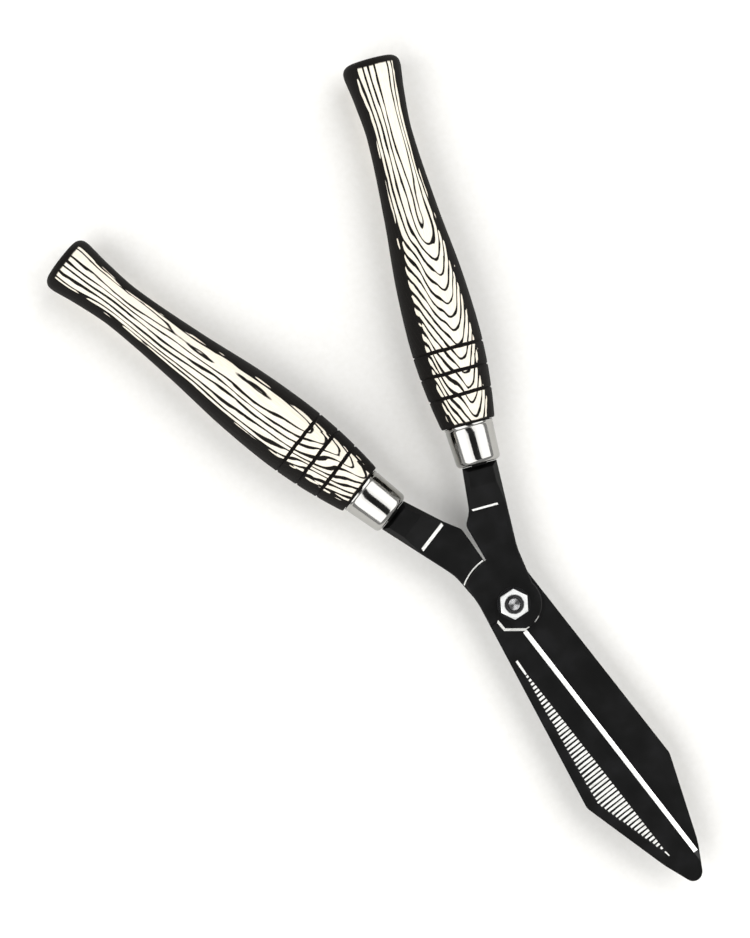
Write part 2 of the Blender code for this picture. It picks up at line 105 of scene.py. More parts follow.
def addPiece(name, bm, materials, body=None, stands=(), sharp=30, soften=0.0):
    bmesh.ops.recalc_face_normals(bm, faces=bm.faces)
    mesh = bpy.data.meshes.new(name)
    bm.to_mesh(mesh)
    bm.free()
    for material in materials:
        mesh.materials.append(material)
    mesh.shade_smooth()
    mesh.set_sharp_from_angle(angle=math.radians(sharp))
    piece = bpy.data.objects.new(name, mesh)
    scene.collection.objects.link(piece)
    if soften:
        bevel = piece.modifiers.new("softEdges", "BEVEL")
        bevel.width = soften
        bevel.segments = 2
        bevel.limit_method = "ANGLE"
        bevel.angle_limit = math.radians(32)    # corners sharper than this are softened
        weighted = piece.modifiers.new("flatFaces", "WEIGHTED_NORMAL")
        weighted.keep_sharp = True
    if body:
        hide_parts(*stands)
        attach(piece, body)
    return piece


# angles from 0 to 90 degrees, for a rounded corner
def quarter(steps):
    return [math.radians(90 / steps * step) for step in range(steps + 1)]


# a solid round from its half outline, given as radius and place along the axis
def spun(outline, steps, centre=Vector((0, 0, 0)), axis=up, side=Vector((1, 0, 0))):
    bm = bmesh.new()
    verts = [bm.verts.new(centre + axis * along + side * radius) for radius, along in outline]
    edges = [bm.edges.new(pair) for pair in zip(verts, verts[1:])]
    bmesh.ops.spin(bm, geom=verts + edges, cent=centre, axis=axis, dvec=(0, 0, 0), angle=math.tau,
                   steps=steps, use_merge=True, use_duplicate=False)
    bmesh.ops.remove_doubles(bm, verts=bm.verts, dist=weld)
    bmesh.ops.recalc_face_normals(bm, faces=bm.faces)
    return bm


# a CAD node's mesh, with its loose triangles joined into whole faces
def copied(node):
    bm = bmesh.new()
    bm.from_mesh(frame["nodes"][node].data)
    bmesh.ops.remove_doubles(bm, verts=bm.verts, dist=weld)
    bmesh.ops.dissolve_limit(bm, angle_limit=math.radians(0.6), verts=bm.verts, edges=bm.edges)
    return bm


# new edges where a plane passes through the faces
def scored(bm, point, normal, faces=None):
    faces = faces or bm.faces[:]
    edges = list(dict.fromkeys(edge for face in faces for edge in face.edges))
    verts = list(dict.fromkeys(vert for face in faces for vert in face.verts))
    bmesh.ops.bisect_plane(bm, geom=verts + edges + faces, plane_co=point, plane_no=normal)


# closed shapes cut out of a blank, or joined to it
def carved(bm, cutters, operation="DIFFERENCE"):
    blank = bpy.data.objects.new("blank", bpy.data.meshes.new("blank"))
    bm.to_mesh(blank.data)
    bm.free()
    scene.collection.objects.link(blank)
    made = [blank]
    for cutter in cutters:
        bmesh.ops.recalc_face_normals(cutter, faces=cutter.faces)
        tool = bpy.data.objects.new("tool", bpy.data.meshes.new("tool"))
        cutter.to_mesh(tool.data)
        cutter.free()
        scene.collection.objects.link(tool)
        made.append(tool)
        change = blank.modifiers.new("carve", "BOOLEAN")
        change.operation = operation
        change.solver = "EXACT"
        change.object = tool
    result = bmesh.new()
    result.from_object(blank, bpy.context.evaluated_depsgraph_get())
    for item in made:
        bpy.data.objects.remove(item)
    return result


# a round bar between two points
def rodAt(foot, top, radius, segments=24):
    bm = bmesh.new()
    axis = top - foot
    turn = axis.to_track_quat("Z", "Y").to_matrix().to_4x4()
    bmesh.ops.create_cone(bm, cap_ends=True, segments=segments, radius1=radius, radius2=radius,
                          depth=axis.length, matrix=Matrix.Translation((foot + top) / 2) @ turn)
    return bm


# Camera, light and floor

studio = {
    "aim": (-113.3 * mm, -24.1 * mm),   # middle of the view, from the pivot
    "turn": 56.17,                      # degrees round the vertical
    "distance": 2.4,
    "lens": 153.5,
    "clipEnd": 20,
    "floorSize": 8.0,
    "zenith": 0.03,                     # sky straight overhead, dark so that the lacquer stays black
    "horizon": 0.48,
    "skyRise": (0.82, 0.93),            # height at which one turns into the other, of 1 overhead
    "boxLength": 2.6,                   # the two softboxes, one on each side of the tool
    "boxWidth": 1.9,
    "boxDistance": 1.25,
    "boxHeight": 1.35,
    "boxPower": 35,
    "paper": "#F5F4F1",
    "paperShade": "#E4E2DC",
    "paperTooth": 3 * mm,
}


def addCamera(settings):
    camera = bpy.data.objects.new("camera", bpy.data.cameras.new("camera"))
    camera.data.lens = settings["lens"]
    camera.data.sensor_width = 36
    camera.data.clip_end = settings["clipEnd"]
    camera.location = (*settings["aim"], meetingZ + settings["distance"])
    camera.rotation_euler = (0, 0, math.radians(settings["turn"]))
    scene.collection.objects.link(camera)
    scene.camera = camera


def addSoftbox(name, side, settings):
    light = bpy.data.lights.new(name, "AREA")
    light.shape = "RECTANGLE"
    light.size, light.size_y = settings["boxLength"], settings["boxWidth"]
    light.energy = settings["boxPower"]
    box = bpy.data.objects.new(name, light)
    box.location = (settings["aim"][0], side * settings["boxDistance"], settings["boxHeight"])
    toTool = Vector((settings["aim"][0], 0, 0)) - box.location
    box.rotation_euler = toTool.to_track_quat("-Z", "Y").to_euler()
    scene.collection.objects.link(box)


def addSky(settings):
    world = bpy.data.worlds.new("studio")
    world.use_nodes = True
    scene.world = world
    tree = world.node_tree
    coords = addNode(tree, "TexCoord")
    split = addNode(tree, "SeparateXYZ", {0: coords.outputs["Generated"]})
    low, high = settings["skyRise"]
    strength = addNode(tree, "MapRange", {
        "Value": split.outputs["Z"], "From Min": low, "From Max": high,
        "To Min": settings["horizon"], "To Max": settings["zenith"]}, interpolation_type="SMOOTHSTEP")
    tree.nodes["Background"].inputs["Color"].default_value = (1, 1, 1, 1)
    tree.links.new(strength.outputs[0], tree.nodes["Background"].inputs["Strength"])


def addFloor(settings):
    # matt card: no gloss, a faint cloudy tooth
    paper, tree, shader = newMaterial("mattCard", settings["paper"], roughness=0.9)
    coords = addNode(tree, "TexCoord")
    tooth = addNode(tree, "TexNoise", {
        "Vector": coords.outputs["Object"], "Scale": 1 / settings["paperTooth"]})
    tint = addNode(tree, "MapRange", {"Value": tooth, "From Min": 0.3, "From Max": 0.7, "To Max": 0.2})
    colour = addNode(tree, "Mix", {
        0: tint, 6: settings["paper"], 7: settings["paperShade"]}, data_type="RGBA")
    tree.links.new(colour.outputs[2], shader.inputs["Base Color"])
    bm = bmesh.new()
    bmesh.ops.create_grid(bm, x_segments=1, y_segments=1, size=settings["floorSize"] / 2)
    bmesh.ops.translate(bm, verts=bm.verts, vec=(0, 0, cadBox[0][2] - 0.1 * mm))
    addPiece("floor", bm, [paper])


print("studio")
scene.view_settings.view_transform = "Standard"
addCamera(studio)
addSoftbox("softboxLeft", 1, studio)
addSoftbox("softboxRight", -1, studio)
addSky(studio)
addFloor(studio)


# Metals

steels = {
    "lacquer": "#020202",           # black stoving lacquer over forged steel
    "lacquerWorn": "#08080A",
    "lacquerRoughness": 0.34,
    "lacquerSpecular": 0.3,
    "patchSize": 14 * mm,           # places dulled by handling
    "bareEdge": "#6E6D6B",
    "edgeRoughness": 0.42,
    "chipSize": 3.5 * mm,
    "forgeGrain": 0.9 * mm,         # size of the dimples left by forging and dipping
    "forgeDepth": 0.012 * mm,
    "ground": "#F4F4F1",            # bare steel straight off the wheel
    "groundShade": "#BDBDB9",
    "groundRoughness": 0.34,
    "coarseRoughness": 0.75,        # wheel-cut places, and the painted highlights on crease, step and lap rim
    "wheelScratch": 0.35 * mm,      # spacing of the wheel's scratches, coarser than real so it shows
    "wheelDepth": 0.004 * mm,
    "wheelLength": 5.8333 * mm,     # of a scratch, across the blade
}


# black lacquer on forged steel: soft gloss, faint dimples, duller and greyer where it has rubbed
def makeLacquer(settings):
    material, tree, shader = newMaterial("blackLacquer", settings["lacquer"])
    coords = addNode(tree, "TexCoord")
    dimples = addNode(tree, "TexNoise", {
        "Vector": coords.outputs["Object"], "Scale": 1 / settings["forgeGrain"], "Detail": 3})
    patches = addNode(tree, "TexNoise", {
        "Vector": coords.outputs["Object"], "Scale": 1 / settings["patchSize"], "Detail": 5})
    rubbed = addNode(tree, "MapRange", {"Value": patches, "From Min": 0.5, "From Max": 0.72})
    colour = addNode(tree, "Mix", {
        0: rubbed, 6: settings["lacquer"], 7: settings["lacquerWorn"]}, data_type="RGBA")
    gloss = addNode(tree, "MapRange", {
        "Value": patches, "From Min": 0.3, "From Max": 0.7,
        "To Min": settings["lacquerRoughness"] - 0.03, "To Max": settings["lacquerRoughness"] + 0.03})
    bump = addNode(tree, "Bump", {
        "Height": dimples, "Distance": settings["forgeDepth"], "Strength": 0.6})
    tree.links.new(colour.outputs[2], shader.inputs["Base Color"])
    tree.links.new(gloss.outputs[0], shader.inputs["Roughness"])
    tree.links.new(bump.outputs[0], shader.inputs["Normal"])
    shader.inputs["Specular IOR Level"].default_value = settings["lacquerSpecular"]
    return material


# ground steel: bright, with straight scratches that run across the edge
def makeGroundSteel(name, roughness, settings):
    material, tree, shader = newMaterial(name, settings["ground"], metallic=1.0)
    coords = addNode(tree, "TexCoord")
    drawn = addNode(tree, "Mapping", {
        "Vector": coords.outputs["Object"],
        "Scale": stretched(settings["wheelScratch"], settings["wheelLength"])})
    scratches = addNode(tree, "TexNoise", {"Vector": drawn, "Scale": 1.0, "Detail": 3})
    shade = addNode(tree, "MapRange", {"Value": scratches, "From Min": 0.45, "From Max": 0.8})
    colour = addNode(tree, "Mix", {
        0: shade, 6: settings["ground"], 7: settings["groundShade"]}, data_type="RGBA")
    gloss = addNode(tree, "MapRange", {
        "Value": scratches, "To Min": roughness - 0.05, "To Max": roughness + 0.08})
    bump = addNode(tree, "Bump", {
        "Height": scratches, "Distance": settings["wheelDepth"], "Strength": 0.5})
    tree.links.new(colour.outputs[2], shader.inputs["Base Color"])
    tree.links.new(gloss.outputs[0], shader.inputs["Roughness"])
    tree.links.new(bump.outputs[0], shader.inputs["Normal"])
    return material


# the lacquer's own edges, rubbed through in places to grey steel
def makeRubbedEdge(settings):
    material, tree, shader = newMaterial(
        "rubbedEdge", settings["lacquer"], roughness=settings["edgeRoughness"])
    coords = addNode(tree, "TexCoord")
    chips = addNode(tree, "TexNoise", {
        "Vector": coords.outputs["Object"], "Scale": 1 / settings["chipSize"], "Detail": 4.0})
    bare = addNode(tree, "MapRange", {"Value": chips, "From Min": 0.52, "From Max": 0.60})
    colour = addNode(tree, "Mix", {
        0: bare, 6: settings["lacquerWorn"], 7: settings["bareEdge"]}, data_type="RGBA")
    tree.links.new(colour.outputs[2], shader.inputs["Base Color"])
    tree.links.new(bare.outputs[0], shader.inputs["Metallic"])
    return material


print("metals")
blackLacquer = makeLacquer(steels)
groundSteel = makeGroundSteel("groundSteel", steels["groundRoughness"], steels)
rubbedEdge = makeRubbedEdge(steels)
coarseSteel = makeGroundSteel("wheelCutAndHighlightSteel", steels["coarseRoughness"], steels)


# Forged halves

forged = {
    "edgeBevel": (14 * mm, 184 * mm),     # bright part of the cutting bevel, from the pivot
    "edgeInner": -6 * mm,                 # no part of that bevel lies further in across the blade
    "step": (1 * mm, 19 * mm),            # slope between boss and blade
    "stepSpan": (-15 * mm, -1 * mm),      # across the blade, the part of the step painted bright as a highlight
    "armHalf": 4.6 * mm,
    "armStart": -50 * mm,                 # behind this there is only arm and bolster
    "lapRadius": (30.0 * mm, 32.0 * mm),  # shoulder behind the other half's boss
    "lapStart": -20 * mm,
    "lapChamfer": 0.9 * mm,
    # painted highlight line in bright steel at the foot of each bolster: width, and its ends across the arm
    "crease": {"upper": (1.2 * mm, 10.5 * mm, 25.5 * mm), "lower": (2.0 * mm, 9.0 * mm, 27.5 * mm)},
    "softEdge": 0.25 * mm,
}
hollow = {
    "start": (28 * mm, -17.5 * mm),       # inner edge runs straight from start to end
    "end": (178 * mm, -6.5 * mm),
    "belly": (127.5 * mm, -25.2 * mm),    # outer edge passes here
    "ridgeFrom": 41 * mm,
    "ridgeTo": 173 * mm,
    "pitch": 2.6 * mm,
    "ridgeWidth": 1.6 * mm,
    "ridgeHeight": 0.2 * mm,
    "ridgeRound": 0.9,                    # share of the height that is rounded off
    "ridgeCuts": (-0.3, -0.1, 0.1, 0.3),  # where a ridge is divided, so that it follows the hollow
    "liftOff": 0.35,                      # how much narrower the wheel leaves a ridge at its outer end
    "overlap": 0.2 * mm,                  # past the hollow's inner edge
    "outerEnd": (0.35 * mm, 0.5 * mm),    # past its outer edge: always, and by chance
    "uneven": (0.25 * mm, 0.18),          # chance in a ridge's place, and in its width
    "lean": 0.04,
    "shortest": 1.2 * mm,
    "spear": (29.5 * mm, 39.5 * mm),      # lone cuts along the blade, before and after the ridges
    "sliver": (174.0 * mm, 177.5 * mm),
    "loneWidth": (1.5 * mm, 0.9 * mm),    # of the spear, and of the sliver
}
flips = {"upper": 1, "lower": -1}         # the lower half is of the same kind, turned over
slots = {"lacquer": 0, "ground": 1, "coarse": 2, "edge": 3}    # a half's materials, in order


# a place in a half's own terms: blade along X, spine on the -Y side, sliding face at 0
def localPoint(side, point):
    return Vector((point.x, flips[side] * point.y, flips[side] * (point.z - meetingZ)))


# slot of the steel that a face shows: lacquer, ground bevel, or bright steel on the step as a painted highlight
def groundKind(side, face, settings):
    middle = localPoint(side, face.calc_center_median())
    outward, rise = flips[side] * face.normal.y, flips[side] * face.normal.z
    (edgeStart, edgeEnd), (stepStart, stepEnd) = settings["edgeBevel"], settings["step"]
    spanLow, spanHigh = settings["stepSpan"]
    sloped = 0.3 < rise < 0.97
    if sloped and outward > 0.2 and edgeStart < middle.x < edgeEnd and middle.y > settings["edgeInner"]:
        return slots["ground"]
    # painted highlight: bright steel on the step's slope
    if sloped and stepStart < middle.x < stepEnd and spanLow < middle.y < spanHigh:
        return slots["coarse"]
    return slots["lacquer"]


# a point on the line where the flat arm turns into the slope up to the bolster
def creasePoint(side, bm, settings):
    for edge in bm.edges:
        ends = [localPoint(side, vert.co) for vert in edge.verts]
        onArm = all(abs(abs(end.z) - settings["armHalf"]) < nearly and end.x < settings["armStart"]
                    for end in ends)
        if onArm and len(edge.link_faces) == 2:
            steeper, flatter = sorted(abs(face.normal.z) for face in edge.link_faces)
            if flatter > 0.999 and 0.95 < steeper < 0.995:
                return edge.verts[0].co.copy()


# along that line a painted highlight: the faces get bright steel
def paintCreaseHighlight(side, bm, settings):
    width, low, high = settings["crease"][side]
    axis = Vector(mounts[side + "_butt_face"]["axis"]).normalized()
    foot = creasePoint(side, bm, settings)

    def onCrease(face):
        middle = face.calc_center_median()
        return abs((middle - foot).dot(axis)) < width / 2 and abs(face.normal.z) > 0.9

    for offset in (-0.5, 0.5):
        scored(bm, foot + axis * width * offset, axis)
    for limit in (low, high):
        scored(bm, (0, flips[side] * limit, 0), (0, 1, 0), [face for face in bm.faces if onCrease(face)])
    for face in bm.faces:
        if onCrease(face) and low < flips[side] * face.calc_center_median().y < high:
            face.material_index = slots["coarse"]


def isLapRim(side, edge, settings):
    nearest, furthest = settings["lapRadius"]
    ends = [localPoint(side, vert.co) for vert in edge.verts]
    return all(abs(end.z + settings["armHalf"]) < nearly and end.x < settings["lapStart"]
               and nearest < math.hypot(end.x, end.y) < furthest for end in ends)


# the shoulder behind the other half's boss gets a chamfer along its broken edge, painted bright as a highlight
def brightenLap(side, bm, settings):
    rims = [edge for edge in bm.edges if isLapRim(side, edge, settings)]
    made = bmesh.ops.bevel(bm, geom=rims, offset=settings["lapChamfer"], offset_type="OFFSET", segments=3,
                           profile=0.5, affect="EDGES", clamp_overlap=False, material=-1)
    for face in made["faces"]:
        face.material_index = slots["coarse"]


# how far across the blade the hollow's two edges lie, at a place along it
def hollowEdges(settings, x):
    start, end, belly = (Vector(settings[name]) for name in ("start", "end", "belly"))
    inner = start.lerp(end, (x - start.x) / (end.x - start.x)).y
    first, last = (start, belly) if x < belly.x else (belly, end)
    outer = first.lerp(last, (x - first.x) / (last.x - first.x)).y
    return inner, outer


# one low rounded ridge between two places on the blade, laid on its surface
def layRidge(bm, surface, side, ends, width, settings):
    flip = flips[side]
    first, last = (Vector((*end, 0)) for end in ends)
    length, height = (last - first).length, settings["ridgeHeight"]
    ridge = bmesh.new()
    bmesh.ops.create_cube(ridge, size=1.0)
    top = [edge for edge in ridge.edges if all(vert.co.z > 0 for vert in edge.verts)]
    bmesh.ops.scale(ridge, vec=(width, length, 2 * height), verts=ridge.verts)
    bmesh.ops.bevel(ridge, geom=top, offset=height * settings["ridgeRound"], offset_type="OFFSET", segments=2,
                    profile=0.5, affect="EDGES", clamp_overlap=True, material=-1)
    for share in settings["ridgeCuts"]:
        scored(ridge, (0, share * length, 0), (0, 1, 0))
    turn = Matrix.Rotation(math.atan2(last.y - first.y, last.x - first.x) - math.pi / 2, 4, "Z")
    for vert in ridge.verts:
        # the wheel lifts off from just short of the middle outwards
        taper = 1 - settings["liftOff"] * max(0.0, vert.co.y / length + 0.1)
        spot = (first + last) / 2 + turn @ Vector((vert.co.x * taper, vert.co.y, 0))
        above = Vector((spot.x, flip * spot.y, meetingZ + flip * 30 * mm))
        found = surface.ray_cast(above, Vector((0, 0, -flip)))[0]
        vert.co = Vector((above.x, above.y, (found.z if found else meetingZ) + flip * vert.co.z))
    bmesh.ops.recalc_face_normals(ridge, faces=ridge.faces)
    for face in ridge.faces:
        face.material_index = slots["coarse"]
    mesh = bpy.data.meshes.new("ridge")
    ridge.to_mesh(mesh)
    ridge.free()
    bm.from_mesh(mesh)
    bpy.data.meshes.remove(mesh)


# the wheel's cuts across the hollow, with a lone cut along the blade before and after them
def addRidges(bm, side, settings):
    surface = BVHTree.FromBMesh(bm)
    spearStart, spearEnd = settings["spear"]
    spear = [(spearStart, hollowEdges(settings, spearStart)[0] - 0.3 * mm),
             (spearEnd, sum(hollowEdges(settings, spearEnd)) / 2)]
    sliver = [(x, sum(hollowEdges(settings, x)) / 2) for x in settings["sliver"]]
    for ends, width in zip((spear, sliver), settings["loneWidth"]):
        layRidge(bm, surface, side, ends, width, settings)
    always, byChance = settings["outerEnd"]
    unevenPlace, unevenWidth = settings["uneven"]
    count = round((settings["ridgeTo"] - settings["ridgeFrom"]) / settings["pitch"])
    for index in range(count + 1):
        wander = noise.noise(Vector((index * 1.7, 3.1, 0.4)))
        x = settings["ridgeFrom"] + index * settings["pitch"] + unevenPlace * wander
        inner, outer = hollowEdges(settings, x)
        outer += always + byChance * wander
        if inner - outer > settings["shortest"]:
            lean = settings["lean"] * (inner - outer)
            ends = [(x - lean, inner - settings["overlap"]), (x + lean, outer)]
            layRidge(bm, surface, side, ends, settings["ridgeWidth"] * (1 + unevenWidth * wander), settings)


def addForgedHalf(side, settings):
    node = side + "_blade"
    bm = copied(node)
    scored(bm, (settings["edgeBevel"][1], 0, 0), (1, 0, 0))
    bm.normal_update()
    for face in bm.faces:
        face.material_index = groundKind(side, face, settings)
    paintCreaseHighlight(side, bm, settings)
    brightenLap(side, bm, settings)
    addRidges(bm, side, hollow)
    piece = addPiece(side + "Blade", bm, [blackLacquer, groundSteel, coarseSteel, rubbedEdge],
                     side + "_half", [node], 12, settings["softEdge"])
    piece.modifiers["softEdges"].material = slots["edge"]


print("forged halves")
for side in flips:
    addForgedHalf(side, forged)


# Wooden handles, ferrules and their pins

turnedHandle = {
    "length": 225.8 * mm,           # shoulder to butt
    # distance from the butt and radius, in mm: butt, waist, swell, shoulder
    "form": [(7.7, 17.6), (23.03, 15.5), (47.0, 13.8), (94.94, 16.6), (134.6, 20.4), (168.8, 21.8),
             (192.74, 20.9), (211.55, 18.8), (225.8, 16.5)],
    "formStep": 2.2 * mm,
    "buttCorner": 5.5 * mm,
    "shoulderCorner": 0.8 * mm,
    "grooves": (207.8 * mm, 193.8 * mm, 179.8 * mm),    # from the butt
    "grooveWidth": 1.7 * mm,
    "grooveDepth": 0.75 * mm,
    "steps": 96,
    "boreLength": 63 * mm,
    "boreHalf": (2.6 * mm, 5.0 * mm),   # half the square bore, at its end and at its mouth
}
ferrule = {
    "start": 250.8 * mm,                # small end, from the butt
    "end": 226.1 * mm,
    "smallRadius": 13.5 * mm,
    "largeRadius": 14.8 * mm,
    "wall": 1.2 * mm,
    "corner": 3.0 * mm,
    "tangHole": 6.8 * mm,
    "gap": 0.3 * mm,
    "bead": 0.35 * mm,                  # rolled lip at the wood
    "beadFrom": 1.9 * mm,               # its groove and its full height, from the wood
    "beadFull": 1.4 * mm,
    "plate": "#A9A8A5",
    "roughness": (0.07, 0.16),
    "smearSize": 6 * mm,
    "polishSize": (0.4 * mm, 20 * mm),  # along the handle, and round it
}
rivet = {
    "radius": 1.2 * mm,
    "headRadius": 2.0 * mm,
    "headHeight": 0.6 * mm,
    "depth": 7.0 * mm,
    "point": (0.3 * mm, 0.5 * mm),      # chamfer at its foot, in radius and in depth
    "hole": 1.35 * mm,
    "steel": "#C9C8C4",
    "roughness": (0.24, 0.45),
    "smearSize": 1.5 * mm,
}
grain = {
    "pale": "#F3EDE0",
    "straw": "#DFD1B4",
    "dark": "#0C0907",
    "spacing": 1.8 * mm,                # between year rings, square to them
    "lineHalf": 0.62 * mm,              # half the dark line, on a face square to the rings
    "lineBlur": 0.03,                   # of the spacing, at each edge of the line
    "lineThinnest": 0.045,              # half the line at its thinnest, of the spacing
    "lineUneven": (0.45, 1.35),
    "legPitch": 3.2 * mm,               # between the legs of the arches, round the handle
    "girth": 19 * mm,                   # radius at which that pitch is right
    "archRound": 0.22,                  # how blunt the arches are
    "turnBlend": 12 * mm,               # over which the arches run out into long lines
    "wanderSize": (70 * mm, 9 * mm),    # sizes along the handle and across it
    "waverSize": (13 * mm, 5 * mm),
    "streakSize": (26 * mm, 2.4 * mm),
    "fibreSize": (16 * mm, 0.45 * mm),
    "paintedSideShade": (0.56, 0.45),           # how level the surface is where the painted shade on the sides begins and is full
    "sideShadeRagged": 0.42,
    "buttShadeAndStain": (4.6 * mm, 3.6 * mm),  # from the butt, where the painted shade and stain ends and where it is full
    "rimShadeAndStain": (1.6 * mm, 2.2 * mm),   # painted shade with a slight stain, from the shoulder, full and ended
    "scorchHalf": 1.15 * mm,            # half the dark band in a groove
    "stainAndShadeUneven": 1.2 * mm,
    "poreDepth": 0.06 * mm,
    "roughness": 0.52,
    "specular": 0.15,
    # roll leans the rings round the handle; climb is their rise along it, by the ferrule and by the butt
    # shade is the lean of the painted shade on the sides
    "upper": {"roll": 17, "climb": (0.205, 0.012), "turnAt": 108 * mm, "wave": 0.50 * mm,
              "waver": 0.35 * mm, "shade": 5, "shift": 0.2 * mm},
    "lower": {"roll": 27, "climb": (0.170, 0.010), "turnAt": 176 * mm, "wave": 0.60 * mm,
              "waver": 0.45 * mm, "shade": 3, "shift": 0.7 * mm},
}


# the butt's middle, and the way out of it along the handle
def handleFrame(side):
    mount = mounts[side + "_butt_face"]
    return Vector(mount["pos_m"]), Vector(mount["axis"]).normalized()


# smooth curve through the handle's form
def formRadius(form, at):
    index = max(0, min(len(form) - 2, sum(1 for place, radius in form if place <= at) - 1))

    def slope(key):
        before, after = form[max(0, key - 1)], form[min(len(form) - 1, key + 1)]
        return (after[1] - before[1]) / (after[0] - before[0])

    (start, near), (end, far) = form[index], form[index + 1]
    span = end - start
    t = (at - start) / span
    return ((2 * t ** 3 - 3 * t ** 2 + 1) * near + (t ** 3 - 2 * t ** 2 + t) * span * slope(index)
            + (3 * t ** 2 - 2 * t ** 3) * far + (t ** 3 - t ** 2) * span * slope(index + 1))


def ferruleRadius(settings, at):
    share = (settings["start"] - at) / (settings["start"] - settings["end"])
    return settings["smallRadius"] + (settings["largeRadius"] - settings["smallRadius"]) * share


# half outline of the wood, radius and distance from the butt
def handleOutline(settings, sleeve):
    length, grooveWidth = settings["length"], settings["grooveWidth"]

    def radiusAt(place):
        return formRadius(settings["form"], place / mm) * mm

    body = []
    at = settings["form"][0][0] * mm
    while at < length - 2 * settings["shoulderCorner"]:
        if min(abs(at - groove) for groove in settings["grooves"]) > 0.8 * grooveWidth:
            body.append((radiusAt(at), at))
        at += settings["formStep"]
    for groove in settings["grooves"]:
        for step in range(-4, 5):
            share = step / 4
            place = groove + share * grooveWidth / 2
            dip = settings["grooveDepth"] * (0.5 + 0.5 * math.cos(math.pi * share))
            body.append((radiusAt(place) - dip, place))

    butt, corner = settings["form"][0][1] * mm, settings["buttCorner"]
    outline = [(0, 0)]
    outline += [(butt - corner * (1 - math.sin(angle)), corner * (1 - math.cos(angle)))
                for angle in quarter(8)]
    outline += sorted(body, key=lambda point: point[1])
    shoulder, corner = settings["form"][-1][1] * mm, settings["shoulderCorner"]
    outline += [(shoulder - corner * (1 - math.cos(angle)), length - corner * (1 - math.sin(angle)))
                for angle in quarter(4)]
    inside = sleeve["wall"] + sleeve["gap"]
    spigotEnd = sleeve["start"] - sleeve["corner"]
    outline += [(ferruleRadius(sleeve, sleeve["end"]) - inside, length),
                (ferruleRadius(sleeve, spigotEnd) - inside, spigotEnd), (0, spigotEnd)]
    return outline


# a point on the handle's axis, and how far below it the rivet's head sits
def rivetSeat(side, sleeve):
    butt, axis = handleFrame(side)
    middle = (sleeve["start"] + sleeve["end"]) / 2
    return butt - axis * middle, ferruleRadius(sleeve, middle) + sleeve["gap"]


def rivetHole(side, settings, sleeve):
    centre, seat = rivetSeat(side, sleeve)
    foot = centre - up * (seat - settings["depth"] - sleeve["gap"])
    return rodAt(foot, centre - up * (seat + 2 * mm), settings["hole"])


# tapered square hole for the tang
def tangBore(side, settings, sleeve):
    butt, axis = handleFrame(side)
    across = up.cross(axis)
    mouth = sleeve["start"] - sleeve["corner"] + 1 * mm
    foot = mouth - settings["boreLength"]
    endHalf, mouthHalf = settings["boreHalf"]
    bore = bmesh.new()
    bmesh.ops.create_cube(bore, size=2.0)
    for vert in bore.verts:
        at, half = (mouth, mouthHalf) if vert.co.x > 0 else (foot, endHalf)
        vert.co = butt - axis * at + across * (vert.co.y * half) + up * (vert.co.z * half)
    return bore
